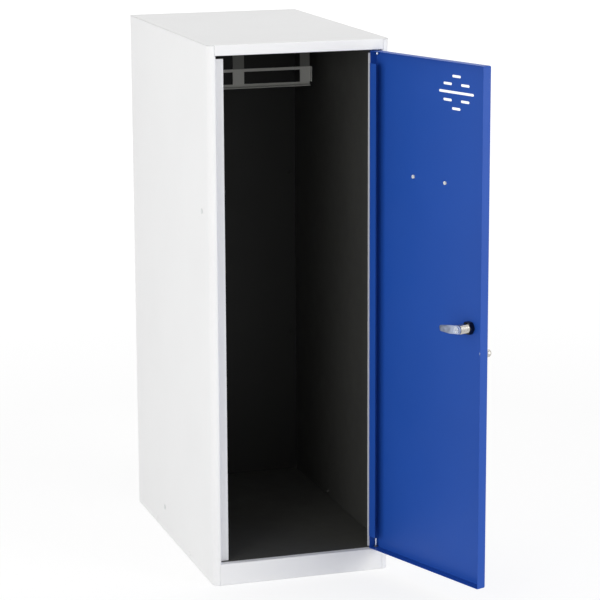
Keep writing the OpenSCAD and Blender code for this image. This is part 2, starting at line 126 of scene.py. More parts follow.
floor_half = 12
floor_drop = 0.4 * MM
floor_shadow_share = 0.3
floor_shadow_near = 1.2
floor_shadow_far = 4
floor_white_level = 1.12
floor_mesh = bpy.data.meshes.new("studio_floor")
floor_mesh.from_pydata([(x * floor_half, y * floor_half, 0)
                        for x, y in ((-1, -1), (1, -1), (1, 1), (-1, 1))], [], [(0, 1, 2, 3)])
studio_floor = bpy.data.objects.new("studio_floor", floor_mesh)
scene.collection.objects.link(studio_floor)
studio_floor.location.z = -floor_drop
floor_paint = bpy.data.materials.new("studio_floor")
floor_paint.use_nodes = True
paper = floor_paint.node_tree
paper.nodes.clear()
floor_out = paper.nodes.new("ShaderNodeOutputMaterial")
floor_mix = paper.nodes.new("ShaderNodeMixShader")
floor_matte = paper.nodes.new("ShaderNodeBsdfDiffuse")
floor_matte.inputs["Color"].default_value = (0.8, 0.8, 0.8, 1)
floor_white = paper.nodes.new("ShaderNodeEmission")
floor_white.inputs["Strength"].default_value = floor_white_level
floor_place = paper.nodes.new("ShaderNodeTexCoord")
floor_away = paper.nodes.new("ShaderNodeVectorMath")
floor_away.operation = "LENGTH"
floor_fade = paper.nodes.new("ShaderNodeMapRange")
for label, value in (("From Min", floor_shadow_near), ("From Max", floor_shadow_far),
                     ("To Min", 1 - floor_shadow_share), ("To Max", 1)):
    floor_fade.inputs[label].default_value = value
floor_share = paper.nodes.new("ShaderNodeMath")
floor_share.operation = "MULTIPLY"
paper.links.new(floor_place.outputs["Object"], floor_away.inputs[0])
paper.links.new(floor_away.outputs["Value"], floor_fade.inputs["Value"])
paper.links.new(seen(paper), floor_share.inputs[0])
paper.links.new(floor_fade.outputs["Result"], floor_share.inputs[1])
paper.links.new(floor_share.outputs[0], floor_mix.inputs[0])
paper.links.new(floor_matte.outputs[0], floor_mix.inputs[1])
paper.links.new(floor_white.outputs[0], floor_mix.inputs[2])
paper.links.new(floor_mix.outputs[0], floor_out.inputs["Surface"])
floor_mesh.materials.append(floor_paint)

# ---------------------------------------------------------------------------
# Side panels: 0.8 mm steel, each folded from one sheet. From the back: a fold
# for the back sheet, the flat side, the big front curve, the front edge, the
# step, and the flange that stops the door. Powder coated after folding.


def blank_material(name):
    """A new material, its node tree, its shader and places fixed to the piece."""
    made = bpy.data.materials.new(name)
    made.use_nodes = True
    tree = made.node_tree
    place = tree.nodes.new("ShaderNodeTexCoord").outputs["Object"]
    return made, tree, tree.nodes["Principled BSDF"], place


def noise(tree, place, scale, detail, roughness=0.5):
    """A cloudy pattern, given by its number of clouds to the metre."""
    clouds = tree.nodes.new("ShaderNodeTexNoise")
    clouds.inputs["Scale"].default_value = scale
    clouds.inputs["Detail"].default_value = detail
    clouds.inputs["Roughness"].default_value = roughness
    tree.links.new(place, clouds.inputs["Vector"])
    return clouds.outputs["Fac"]


def spread(tree, pattern, low, high):
    """Maps a pattern's middle range onto low to high."""
    ranged = tree.nodes.new("ShaderNodeMapRange")
    for label, value in (("From Min", 0.3), ("From Max", 0.7), ("To Min", low), ("To Max", high)):
        ranged.inputs[label].default_value = value
    tree.links.new(pattern, ranged.inputs["Value"])
    return ranged.outputs["Result"]


def bump(tree, height, distance, below=None):
    """A bump of the given height, laid over another one."""
    raised = tree.nodes.new("ShaderNodeBump")
    raised.inputs["Strength"].default_value = 1
    raised.inputs["Distance"].default_value = distance
    tree.links.new(height, raised.inputs["Height"])
    if below:
        tree.links.new(below, raised.inputs["Normal"])
    return raised.outputs["Normal"]


def times(colour, share):
    """The colour made darker or paler."""
    return tuple(min(c * share, 1) for c in colour[:3]) + (1,)


def cloudy(tree, skin, pattern, dark, pale):
    """Lets the skin's colour wander from dark to pale with a pattern."""
    tint = tree.nodes.new("ShaderNodeMix")
    tint.data_type = "RGBA"
    tint.inputs["A"].default_value = dark
    tint.inputs["B"].default_value = pale
    tree.links.new(spread(tree, pattern, 0, 1), tint.inputs["Factor"])
    tree.links.new(tint.outputs["Result"], skin.inputs["Base Color"])


def powder_coat(name, colour, roughness, variation=0.03, shine=0.5):
    """Baked powder paint: fine orange peel over sheet that isn't quite flat."""
    orange_peel = 0.006 * MM
    buckle = 0.15 * MM
    made, tree, skin, place = blank_material(name)
    cloudy(tree, skin, noise(tree, place, scale=5, detail=4),
           times(colour, 1 - variation), times(colour, 1 + variation))
    handled = noise(tree, place, scale=23, detail=5, roughness=0.6)
    tree.links.new(spread(tree, handled, roughness - 0.04, roughness + 0.05),
                   skin.inputs["Roughness"])
    sheet = bump(tree, noise(tree, place, scale=4, detail=1), buckle)
    grain = bump(tree, noise(tree, place, scale=620, detail=2), orange_peel, sheet)
    tree.links.new(grain, skin.inputs["Normal"])
    skin.inputs["Specular IOR Level"].default_value = shine
    return made


light_grey = powder_coat("light_grey_powder", linear(240, 240, 240), 0.6, variation=0.012,
                         shine=0.25)
# A dark grey paint for faces inside the cabinet: painted shade that makes the interior look dark.
painted_shade_inside = powder_coat("painted_shade_inside_powder", linear(78, 78, 75), 0.5, 0.06, shine=0.3)


def rounded(path, radii, steps=6):
    """The path with its inner corners turned into arcs; a radius of 0 keeps one."""
    points = [Vector(p) for p in path]
    out = [points[0]]
    for before, peak, after, radius in zip(points, points[1:], points[2:], radii):
        if not radius:
            out.append(peak)
            continue
        into, away = (peak - before).normalized(), (after - peak).normalized()
        turn = into.angle_signed(away)
        side = Vector((into.y, -into.x)) if turn > 0 else Vector((-into.y, into.x))
        start = peak - into * radius * math.tan(abs(turn) / 2)
        centre = start + side * radius
        for k in range(steps + 1):
            arm = start - centre
            arm.rotate(Matrix.Rotation(-turn * k / steps, 2))
            out.append(centre + arm)
    return out + [points[-1]]


def fold(mesh, path, rows, place, keep=None):
    """Adds a sheet folded along a path: place(point, row) gives each corner of
    its cells, and keep(point, row) says which cells the blank still has."""
    verts = [[mesh.verts.new(place(p, r)) for r in rows] for p in path]
    for i in range(len(path) - 1):
        middle = (path[i] + path[i + 1]) / 2
        for j in range(len(rows) - 1):
            if keep is None or keep(middle, (rows[j] + rows[j + 1]) / 2):
                mesh.faces.new([verts[i][j], verts[i + 1][j],
                                verts[i + 1][j + 1], verts[i][j + 1]])


def upright(hand=1):
    """Stands a path seen from above upright; hand -1 mirrors it to the right."""
    return lambda p, z: (hand * p.x, p.y, z)


def as_mesh(name, shape):
    """Turns a shape that is done into a mesh of that name."""
    data = bpy.data.meshes.new(name)
    shape.to_mesh(data)
    shape.free()
    return data


def show(name, data, body, paints, node):
    """Puts a finished mesh in the scene, on its body, in place of a CAD node."""
    piece = bpy.data.objects.new(name, data)
    scene.collection.objects.link(piece)
    for paint in paints:
        data.materials.append(paint)
    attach(piece, body)
    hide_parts(node)
    return piece


def applied(piece):
    """Applies a piece's modifiers to its mesh."""
    graph = bpy.context.evaluated_depsgraph_get()
    piece_mesh = bpy.data.meshes.new_from_object(piece.evaluated_get(graph))
    piece.modifiers.clear()
    piece.data = piece_mesh
    return piece_mesh


def settle(piece, sharp=40):
    """Applies a piece's modifiers and shades it: bends smooth, flats flat."""
    done = applied(piece)
    done.polygons.foreach_set("use_smooth", [True] * len(done.polygons))
    done.set_sharp_from_angle(angle=math.radians(sharp))
    even = piece.modifiers.new("even_shading", "WEIGHTED_NORMAL")
    even.keep_sharp = True
    applied(piece)


def round_over(piece, width, segments, angle):
    """Rounds a piece's edges that are sharper than the angle."""
    edge = piece.modifiers.new("rounded_edges", "BEVEL")
    edge.width = width
    edge.segments = segments
    edge.limit_method = "ANGLE"
    edge.angle_limit = math.radians(angle)


touch = 0.001 * MM


def solid_sheet(name, sheet, thickness, paints, node, body="cabinet", flip=False,
                ease=0.12 * MM):
    """Makes a sheet metal piece of real thickness from the surface in its middle."""
    loose = [v for v in sheet.verts if not v.link_faces]
    bmesh.ops.delete(sheet, geom=loose, context="VERTS")
    bmesh.ops.remove_doubles(sheet, verts=sheet.verts, dist=touch)
    if flip:
        bmesh.ops.reverse_faces(sheet, faces=sheet.faces)
    piece = show(name, as_mesh(name, sheet), body, paints, node)
    gauge = piece.modifiers.new("gauge", "SOLIDIFY")
    gauge.thickness = thickness
    gauge.offset = 0
    gauge.use_even_offset = True
    gauge.use_quality_normals = True
    gauge.material_offset = len(paints) - 1
    round_over(piece, ease, segments=2, angle=60)
    settle(piece, sharp=32)
    return piece


def paint_shade_on(piece, inside):
    """Puts a painted shade, the piece's second material, on the faces that the test picks."""
    for face in piece.data.polygons:
        if inside(face.center, face.normal):
            face.material_index = 1


gauge_body = 0.8 * MM
half = gauge_body / 2
bend = 1.2 * MM
gap = 0.3 * MM
corner_r = 11 * MM
front_edge = 13 * MM
step = 18 * MM
rear_fold = 20 * MM
flange_short = 6.5 * MM
left_low, left_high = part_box("side_left")
top_low, top_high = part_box("top_panel")
tray_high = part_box("floor_tray")[1]
front_y, back_y = left_low.y, left_high.y
side_x = -left_low.x
opening_x = side_x - front_edge
step_y = front_y + step
flange_x = left_high.x
edge_low = tray_high.z + gap
edge_high = top_low.z - gap
flange_top = edge_high - flange_short

side_path = rounded(
    [(-side_x + rear_fold, back_y - half), (-side_x + half, back_y - half),
     (-side_x + half, front_y + half), (-opening_x - half, front_y + half),
     (-opening_x - half, step_y + half), (flange_x, step_y + half)],
    [bend, corner_r - half, bend, bend], 10)


def side_blank(p, z):
    """The front edge stops at the plinth and the lip, the flange lower still."""
    if p.x < -side_x + corner_r or p.y > step_y + gauge_body + bend:
        return True
    if p.x > -opening_x + bend:
        return edge_low < z < flange_top
    return edge_low < z < edge_high


# The outer face of each sheet gets the light grey, the face inside the cabinet the painted shade.
for hand, node in ((1, "side_left"), (-1, "side_right")):
    sheet = bmesh.new()
    fold(sheet, side_path, [left_low.z, edge_low, flange_top, edge_high, left_high.z],
         upright(hand), side_blank)
    solid_sheet(node + "_sheet", sheet, gauge_body, [light_grey, painted_shade_inside],
                node, flip=hand < 0)

# ---------------------------------------------------------------------------
# Back panel: one flat sheet with a shallow cross crease that keeps it from
# drumming. Blind rivets with domed heads hold it to the folds of the sides.
# A near-black paint: painted deep shade for the back of the cabinet, seen through the door.
painted_deep_shade_inside = powder_coat("painted_deep_shade_powder", linear(40, 40, 39), 0.5, 0.06, shine=0.3)
crease = 1.2 * MM
rim = 26 * MM
back_low, back_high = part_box("back_panel")
back_mid = (back_low.y + back_high.y) / 2
outer = [Vector((x, back_mid, z)) for x, z in
         ((back_low.x, back_low.z), (back_high.x, back_low.z),
          (back_high.x, back_high.z), (back_low.x, back_high.z))]
middle = (outer[0] + outer[2]) / 2
inner = [Vector((x + math.copysign(rim, middle.x - x), back_mid,
                 z + math.copysign(rim, middle.z - z))) for x, _, z in outer]
sheet = bmesh.new()
apex = sheet.verts.new(middle - Vector((0, crease, 0)))
ring_out = [sheet.verts.new(c) for c in outer]
ring_in = [sheet.verts.new(c) for c in inner]
for k in range(4):
    n = (k + 1) % 4
    sheet.faces.new([ring_out[k], ring_out[n], ring_in[n], ring_in[k]])
    sheet.faces.new([ring_in[k], ring_in[n], apex])
# The inner face gets the painted deep shade, the outer face the light grey.
solid_sheet("back_sheet", sheet, gauge_body, [painted_deep_shade_inside, light_grey],
            "back_panel")


def metal(name, colour, roughness, grain, scale):
    """Plated metal with a fine tooled or tumbled surface."""
    made, tree, skin, place = blank_material(name)
    clouds = noise(tree, place, scale, detail=6)
    cloudy(tree, skin, clouds, times(colour, 0.86), colour)
    tree.links.new(spread(tree, clouds, roughness * 0.8, roughness * 1.25),
                   skin.inputs["Roughness"])
    tree.links.new(bump(tree, clouds, grain), skin.inputs["Normal"])
    skin.inputs["Metallic"].default_value = 1
    return made


zinc = metal("bright_zinc", linear(214, 220, 232), 0.26, grain=0.004 * MM, scale=260)


def spun(outline_at, steps):
    """A solid about the Y axis: outline_at(angle) is its closed outline of
    (radius, y) at that angle."""
    shape = bmesh.new()
    rings = []
    for k in range(steps):
        a = 2 * math.pi * k / steps
        rings.append([shape.verts.new((r * math.cos(a), y, r * math.sin(a)))
                      for r, y in outline_at(a)])
    for here, there in zip(rings, rings[1:] + rings[:1]):
        for i in range(len(here)):
            n = (i + 1) % len(here)
            shape.faces.new([here[i], here[n], there[n], there[i]])
    return shape


def turned(outline, steps=48):
    """A solid turned about the Y axis from a closed outline of (radius, y)."""
    shape = spun(lambda angle: outline, steps)
    bmesh.ops.remove_doubles(shape, verts=shape.verts, dist=touch / 10)
    bmesh.ops.dissolve_degenerate(shape, edges=shape.edges, dist=touch / 10)
    bmesh.ops.recalc_face_normals(shape, faces=shape.faces)
    return shape


def spots(node):
    """Low and high corners of each separate solid in a CAD node that holds several."""
    shape = bmesh.new()
    shape.from_mesh(frame["nodes"][node].data)
    bmesh.ops.remove_doubles(shape, verts=shape.verts, dist=touch)
    left, found = set(shape.verts), []
    while left:
        stack, group = [left.pop()], []
        while stack:
            v = stack.pop()
            group.append(v.co.copy())
            for e in v.link_edges:
                o = e.other_vert(v)
                if o in left:
                    left.remove(o)
                    stack.append(o)
        found.append((Vector(map(min, *group)), Vector(map(max, *group))))
    shape.free()
    return sorted(found, key=lambda s: tuple(s[0]))


def dome(radius, height, base, steps=6):
    """Outline of a rivet's head: a low upright edge, then round to its top."""
    edge = 0.15 * MM
    return [(radius * math.cos(t * math.pi / 2 / steps),
             base + edge + (height - edge) * math.sin(t * math.pi / 2 / steps))
            for t in range(steps + 1)]


def join(target, shape, matrix):
    """Adds one shape, moved by matrix, to a growing mesh."""
    bmesh.ops.transform(shape, matrix=matrix, verts=shape.verts)
    part = as_mesh("part", shape)
    target.from_mesh(part)
    bpy.data.meshes.remove(part)


def finished(name, shape, body, paints, node):
    """Puts a solid shape in the scene and shades it."""
    piece = show(name, as_mesh(name, shape), body, paints, node)
    settle(piece)
    return piece


rivet_head_r = 3.2 * MM
rivet_head_h = 0.75 * MM
rivet_bulb_r = 2.5 * MM
rivet_bulb_l = 1.4 * MM
rivet_bulb_round = 0.4 * MM
rivet_shank_r = 1.6 * MM
heads = bmesh.new()
for low, high in spots("back_rivets"):
    place = (low + high) / 2
    under_head = high.y - 0.9 * MM
    head = turned([(0, under_head - 0.3 * MM), (rivet_head_r, under_head)]
                  + dome(rivet_head_r, rivet_head_h, under_head + 0.05 * MM))
    join(heads, head, Matrix.Translation((place.x, 0, place.z)))
    shank = turned([(0, low.y), (rivet_bulb_r - rivet_bulb_round, low.y),
                    (rivet_bulb_r, low.y + rivet_bulb_round),
                    (rivet_bulb_r, low.y + rivet_bulb_l),
                    (rivet_shank_r, low.y + rivet_bulb_l + 0.1 * MM),
                    (rivet_shank_r, under_head), (0, under_head)], 32)
    join(heads, shank, Matrix.Translation((place.x, 0, place.z)))
piece = finished("back_rivet_heads", heads, "cabinet", [zinc, painted_deep_shade_inside],
                 "back_rivets")
# Their ends inside the cabinet get the painted deep shade.
paint_shade_on(piece, lambda at, facing: at.y < back_low.y)

# ---------------------------------------------------------------------------
# Floor tray: one blank makes the front foot, the plinth, the floor, the rear
# wall and its foot, with folds down both sides that the sides are riveted to.


def across(p, x):
    """Lays a path seen from the side across the width."""
    return (x, p.x, p.y)


def side_folds(sheet, path, front, back):
    """Adds a fold from front to back along both sides of a floor or a top."""
    for hand in (1, -1):
        fold(sheet, path, [front, back] if hand > 0 else [back, front],
             lambda p, y: (hand * p.x, y, p.y))


def plate(sheet, half_outline, z):
    """Adds a flat stretch of sheet from the outline of its right half."""
    corners = half_outline + [(-x, y) for x, y in reversed(half_outline)]
    sheet.faces.new([sheet.verts.new((x, y, z)) for x, y in corners])


def weld(sheet):
    """Joins stretches that meet, and turns all their faces the same way."""
    bmesh.ops.remove_doubles(sheet, verts=sheet.verts, dist=touch)
    bmesh.ops.recalc_face_normals(sheet, faces=sheet.faces)


front_clear = 25 * MM
rear_clear = 4 * MM
floor_clear = 3 * MM
foot = 16 * MM
rear_foot = 14 * MM
tray_x = tray_high.x
tray_top = tray_high.z - half
tray_back = tray_high.y - half
plinth_x = side_x - corner_r - gap
rear_x = tray_x - rear_clear
bent_x = tray_x - half - bend
fold_front = front_y + front_clear
fold_back = tray_high.y - rear_clear + gap
floor_front = front_y + corner_r + gap
tray = bmesh.new()
fold(tray, rounded([(front_y + foot, half), (front_y + half, half),
                    (front_y + half, tray_top), (front_y + half + bend, tray_top)],
                   [bend, bend]), [-plinth_x, plinth_x], across)
fold(tray, rounded([(tray_back - bend, tray_top), (tray_back, tray_top),
                    (tray_back, half), (tray_back - rear_foot, half)], [bend, bend]),
     [-rear_x, rear_x], across)
side_folds(tray, rounded([(bent_x, tray_top), (tray_x - half, tray_top),
                          (tray_x - half, floor_clear)], [bend]), fold_front, fold_back)
plate(tray, [(plinth_x, front_y + half + bend), (plinth_x, floor_front)], tray_top)
plate(tray, [(plinth_x, floor_front), (tray_x, floor_front), (tray_x, fold_front),
             (bent_x, fold_front), (bent_x, fold_back), (rear_x, fold_back),
             (rear_x, tray_back - bend)], tray_top)
weld(tray)
piece = solid_sheet("floor_tray_sheet", tray, gauge_body, [light_grey],
                    "floor_tray")
# The floor's top behind the plinth gets the painted shade of the inside.
piece.data.materials.append(painted_shade_inside)
paint_shade_on(piece, lambda at, facing: facing.z > 0.5 and at.y > floor_front and at.z > tray_top)

# ---------------------------------------------------------------------------
# Top: a sheet with the same round front corners as the sides, bent down into
# the lip and back under it, with a small upstand that stiffens the edge.
upstand = 8 * MM
spot_flange = 12 * MM
drop = 14 * MM
back_play = 0.4 * MM
corner_steps = 12
top_z = top_high.z - half
lip_low = top_low.z + half
lip_back = front_y + step - half
under = top_high.z - gauge_body - half
lid = bmesh.new()
fold(lid, rounded([(front_y + half + bend, top_z), (front_y + half, top_z),
                   (front_y + half, lip_low), (lip_back, lip_low),
                   (lip_back, top_low.z + upstand)], [bend, bend, bend]),
     [-plinth_x, plinth_x], across)
quarter = [t * math.pi / 2 / corner_steps for t in range(corner_steps + 1)]
plate(lid, [(plinth_x, front_y + half + bend), (plinth_x, front_y)]
      + [(side_x - corner_r + corner_r * math.sin(a),
          front_y + corner_r - corner_r * math.cos(a)) for a in quarter]
      + [(side_x, back_y)], top_z)
side_folds(lid, rounded([(tray_x - half - spot_flange, under), (tray_x - half, under),
                         (tray_x - half, under + half - drop)], [bend]), fold_front, fold_back)
fold(lid, rounded([(tray_back - back_play - spot_flange, under), (tray_back - back_play, under),
                   (tray_back - back_play, under + half - drop)], [bend]),
     [-rear_x, rear_x], across)
weld(lid)
piece = solid_sheet("top_sheet", lid, gauge_body, [light_grey], "top_panel")
# The underside behind the lip gets the painted shade of the inside.
piece.data.materials.append(painted_shade_inside)
paint_shade_on(piece, lambda at, facing: at.y > lip_back and at.z < top_z - 0.9 * half)

# ---------------------------------------------------------------------------
# Hanging rail: a 1.5 mm blank with two punched windows for hanger hooks, bent
# along its foot and at its ends, on three straps spot welded under the top.
rail_grey = powder_coat("rail_grey_powder", linear(212, 212, 206), 0.45)
# A darker grey for the straps: a painted shadow of the top's lip, on the same steel as the frame.
painted_shadow_strap = powder_coat("painted_shadow_strap_powder", linear(122, 122, 118), 0.5, 0.05, shine=0.3)
rail_gauge = 1.5 * MM
rail_half = rail_gauge / 2
rail_bend = 1.9 * MM
rail_drop = 83 * MM
rail_foot = 5.2 * MM
rail_return = 6 * MM
bar_top = 5 * MM
bar_foot = 7 * MM
post = 20 * MM
rail_low, rail_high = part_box("hanging_rail")
rail_x = rail_high.x
rail_y = rail_high.y - rail_half
rail_z = rail_low.z + rail_half
frame_top = top_high.z - rail_drop
window_low = rail_low.z + bar_foot
window_high = frame_top - bar_top
strap_foot = rail_high.z - rail_half
ends = rail_x - rail_half - rail_bend
rail_path = rounded([(rail_low.y, strap_foot), (rail_y, strap_foot), (rail_y, frame_top),
                     (rail_y, window_high), (rail_y, window_low),
                     (rail_y, rail_z), (rail_y - rail_foot, rail_z)],
                    [rail_bend, 0, 0, 0, rail_bend])


def rail_blank(p, x):
    """Posts all the way up, bars only above and below the windows."""
    on_post = abs(x) < post / 2 or abs(x) > rail_x - post
    window = window_low < p.y < window_high
    return on_post or (p.y < frame_top and not window)


rail = bmesh.new()
fold(rail, rail_path, [-ends, -rail_x + post, -post / 2, post / 2, rail_x - post, ends],
     across, rail_blank)
for hand in (1, -1):
    rows = [window_low, window_high, frame_top]
    fold(rail, rounded([(ends, rail_y), (rail_x - rail_half, rail_y),
                        (rail_x - rail_half, rail_y - rail_return)], [rail_bend]),
         rows if hand < 0 else rows[::-1], upright(hand))
weld(rail)
piece = solid_sheet("hanging_rail_frame", rail, rail_gauge, [rail_grey],
                    "hanging_rail", ease=0.2 * MM)
piece.data.materials.append(painted_shadow_strap)
# The straps above the frame get the painted shadow.
paint_shade_on(piece, lambda at, facing: at.z > frame_top)

# ---------------------------------------------------------------------------
# Pivots: two 2.5 mm plates welded behind the folds carry 4 mm steel pins, on
# which the door turns. All four are zinc plated.


def eased(node, name, body, paint, width, segments=3):
    """Shows a CAD node with its hard edges rounded over."""
    data = frame["nodes"][node].data.copy()
    data.name = name
    data.materials.clear()
    shape = bmesh.new()
    shape.from_mesh(data)
    bmesh.ops.remove_doubles(shape, verts=shape.verts, dist=touch)
    bmesh.ops.dissolve_limit(shape, angle_limit=math.radians(1), verts=shape.verts,
                             edges=shape.edges)
    shape.to_mesh(data)
    shape.free()
    piece = show(name, data, body, [paint], node)
    round_over(piece, width, segments, angle=28)
    settle(piece)


for node in ("hinge_plate_top", "hinge_plate_bottom"):
    eased(node, node + "_plate", "cabinet", zinc, 0.25 * MM)
for node in ("pin_top", "pin_bottom"):
    eased(node, node + "_pin", "cabinet", zinc, 0.3 * MM)

# ---------------------------------------------------------------------------
# Base rivets and plugs: rivets join the sides to the tray, and moulded plugs
# close the holes through which neighbouring cabinets are bolted together.


def moulded(name, colour, roughness, grain=0.003 * MM):
    """Injection moulded plastic with a faint texture and uneven gloss."""
    made, tree, skin, place = blank_material(name)
    clouds = noise(tree, place, scale=40, detail=4)
    cloudy(tree, skin, clouds, times(colour, 0.95), colour)
    tree.links.new(spread(tree, clouds, roughness - 0.05, roughness + 0.05),
                   skin.inputs["Roughness"])
    grains = noise(tree, place, scale=1500, detail=2)
    tree.links.new(bump(tree, grains, grain), skin.inputs["Normal"])
    return made


def set_in_sides(node, outline):
    """Pieces turned to one outline and set into both side panels. The outline
    runs from out, its place on the outer face, to inner, its inner end."""
    studs = bmesh.new()
    for low, high in spots(node):
        hand = 1 if low.x < 0 else -1
        place = (low + high) / 2
        out, inner = (low.x, high.x) if hand > 0 else (-high.x, -low.x)
        join(studs, turned(outline(out, inner), 40),
             Matrix.Translation((0, place.y, place.z))
             @ Matrix.Scale(hand, 4, (1, 0, 0)) @ Matrix.Rotation(math.radians(-90), 4, "Z"))
    bmesh.ops.recalc_face_normals(studs, faces=studs.faces)
    return studs


pale_plastic = moulded("pale_plastic", linear(222, 224, 224), 0.4)
plug_r = 4.45 * MM
plug_t = 0.8 * MM
plug_stem_r = 2.95 * MM
plug_bore_r = 2 * MM
plug_floor = 1.2 * MM


def plug_outline(out, inner):
    """Low domed head, hollow stem with a tapered end."""
    return [(0, out), (plug_r - 1.15 * MM, out), (plug_r - 0.35 * MM, out + 0.25 * MM),
            (plug_r, out + 0.65 * MM), (plug_r, out + plug_t), (plug_stem_r, out + plug_t),
            (plug_stem_r, inner - 1 * MM), (plug_stem_r - 0.35 * MM, inner),
            (plug_bore_r, inner), (plug_bore_r, out + plug_floor), (0, out + plug_floor)]


# The plugs' inner ends get the painted shade of the inside.
piece = finished("joining_hole_plugs", set_in_sides("joint_plugs", plug_outline), "cabinet",
                 [pale_plastic, painted_shade_inside], "joint_plugs")
paint_shade_on(piece, lambda at, facing: abs(at.x) < side_x - gauge_body)

base_head_r = 4 * MM
base_head_t = 1 * MM
base_shank_r = 2 * MM
base_bulb_r = 3 * MM


def base_outline(out, inner):
    """Low round head, shank, and the bulb set behind the sheets."""
    return [(0, out), (base_head_r - 2.4 * MM, out + 0.05 * MM),
            (base_head_r - 1.2 * MM, out + 0.25 * MM), (base_head_r - 0.4 * MM, out + 0.55 * MM),
            (base_head_r, out + 0.95 * MM), (base_shank_r, out + base_head_t),
            (base_shank_r, inner - 1.9 * MM), (base_bulb_r, inner - 1.6 * MM),
            (base_bulb_r - 0.3 * MM, inner - 0.2 * MM), (base_bulb_r - 0.8 * MM, inner), (0, inner)]


finished("base_rivet_heads", set_in_sides("base_rivets", base_outline), "cabinet",
         [light_grey], "base_rivets")

# ---------------------------------------------------------------------------
# Door: a 0.8 mm blank folded into a 16 mm deep pan. The hinge side has one
# more bend, a lip cut short at both pivots. Vent slots are punched through.
swing = next(j for j in frame["joints"] if j["name"] == "door_swing")
pivot = Vector((swing["pos_m"][0], swing["pos_m"][1], 0))
opened = math.radians(-swing["range_deg"][0])
door_place = Matrix.Translation(pivot) @ Matrix.Rotation(opened, 4, "Z")
door_back = door_place.inverted()


def door_box(node):
    """A CAD node's corners measured along the door, as if it were shut."""
    points = [door_back @ v.co for v in frame["nodes"][node].data.vertices]
    low, high = points[0].copy(), points[0].copy()
    for p in points:
        low, high = Vector(map(min, low, p)), Vector(map(max, high, p))
    return low, high


def placed(shape, matrix):
    """The shape, moved by a matrix."""
    bmesh.ops.transform(shape, matrix=matrix, verts=shape.verts)
    return shape


blue = powder_coat("blue_powder", linear(31, 78, 168), 0.42, shine=0.24)
door_gauge = 0.8 * MM
door_lip = 16 * MM
notch = 20 * MM
overlap = door_gauge + 0.1 * MM
pan_low, pan_high = door_box("door_pan")
skin_mid = pan_low.y + door_gauge / 2
rim_y = pan_high.y
free_x = pan_low.x + door_gauge / 2
hinge_x = pan_high.x - door_gauge / 2
low_z = pan_low.z + door_gauge / 2
high_z = pan_high.z - door_gauge / 2
lip_end = pan_high.x - door_lip
lip_y = rim_y - door_gauge / 2
notch_low = pan_low.z + notch
notch_high = pan_high.z - notch
inner_x = (free_x + bend, hinge_x - bend)
inner_z = (low_z + bend, high_z - bend)
bend_end = skin_mid + bend - touch

vent_in = 191.5 * MM
vent_drop = 49 * MM
slot_high = 4 * MM
slot_short = 20 * MM
slot_long = 81 * MM
slot_pitch = 12.5 * MM
slot_step = 1.02 * slot_short
slots = [(0, 0, slot_long)]
for s in (-1, 1):
    slots += [(0, 2 * s * slot_pitch, slot_short)]
    slots += [(k * slot_step, s * slot_pitch, slot_short) for k in (-1, 1)]


def slot_outline(x, z, length, steps=8):
    """A slot with round ends, as a ring of points in the door's plane."""
    r, reach = slot_high / 2, (length - slot_high) / 2
    ring = []
    for s in (1, -1):
        for k in range(steps + 1):
            a = math.pi * (k / steps - 0.5)
            ring.append((x + s * (reach + r * math.cos(a)), z + s * r * math.sin(a)))
    return ring


def free_cell(p, z):
    """The free side's bend stops at the end folds, its flange runs on."""
    return p.y > bend_end or inner_z[0] < z < inner_z[1]


def hinge_cell(p, z):
    """The hinge side is the same, with its lip only between the notches."""
    if p.y > lip_y - bend:
        return notch_low < z < notch_high
    return free_cell(p, z)


def end_cell(p, x):
    """An end's bend stops at the side flanges, its flange runs on."""
    return p.x > bend_end or inner_x[0] < x < inner_x[1]


pan = bmesh.new()
fold(pan, rounded([(inner_x[0], skin_mid), (free_x, skin_mid), (free_x, rim_y)], [bend]),
     [low_z, inner_z[0], inner_z[1], high_z], upright(), free_cell)
fold(pan, rounded([(inner_x[1], skin_mid), (hinge_x, skin_mid), (hinge_x, lip_y),
                   (lip_end, lip_y)], [bend, bend]),
     [low_z, inner_z[0], notch_low, notch_high, inner_z[1], high_z], upright(), hinge_cell)
for edge_z, inner_edge in ((low_z, inner_z[0]), (high_z, inner_z[1])):
    fold(pan, rounded([(skin_mid, inner_edge), (skin_mid, edge_z), (rim_y, edge_z)], [bend]),
         [free_x + overlap, inner_x[0], inner_x[1], hinge_x - overlap], across, end_cell)

skin = bmesh.new()
edges = []
outline = [(inner_x[0], inner_z[0]), (inner_x[1], inner_z[0]), (inner_x[1], notch_low),
           (inner_x[1], notch_high), (inner_x[1], inner_z[1]), (inner_x[0], inner_z[1])]
vent_x = pan_high.x - vent_in
vent_z = pan_high.z - vent_drop
for ring in [outline] + [slot_outline(vent_x + x, vent_z + z, l) for x, z, l in slots]:
    verts = [skin.verts.new((x, skin_mid, z)) for x, z in ring]
    edges += [skin.edges.new((a, b)) for a, b in zip(verts, verts[1:] + verts[:1])]
bmesh.ops.triangle_fill(skin, use_beauty=True, use_dissolve=False, edges=edges)
join(pan, skin, Matrix.Identity(4))
weld(pan)
solid_sheet("door_pan_sheet", placed(pan, door_place), door_gauge, [blue],
            "door_pan", body="door")

# ---------------------------------------------------------------------------
# Bushes: turned nylon, pressed into the door's end folds, so that no steel
# rubs on the pins.
dark_nylon = moulded("dark_nylon", linear(70, 74, 84), 0.42)
for node in ("bush_top", "bush_bottom"):
    eased(node, node + "_ring", "door", dark_nylon, 0.2 * MM)

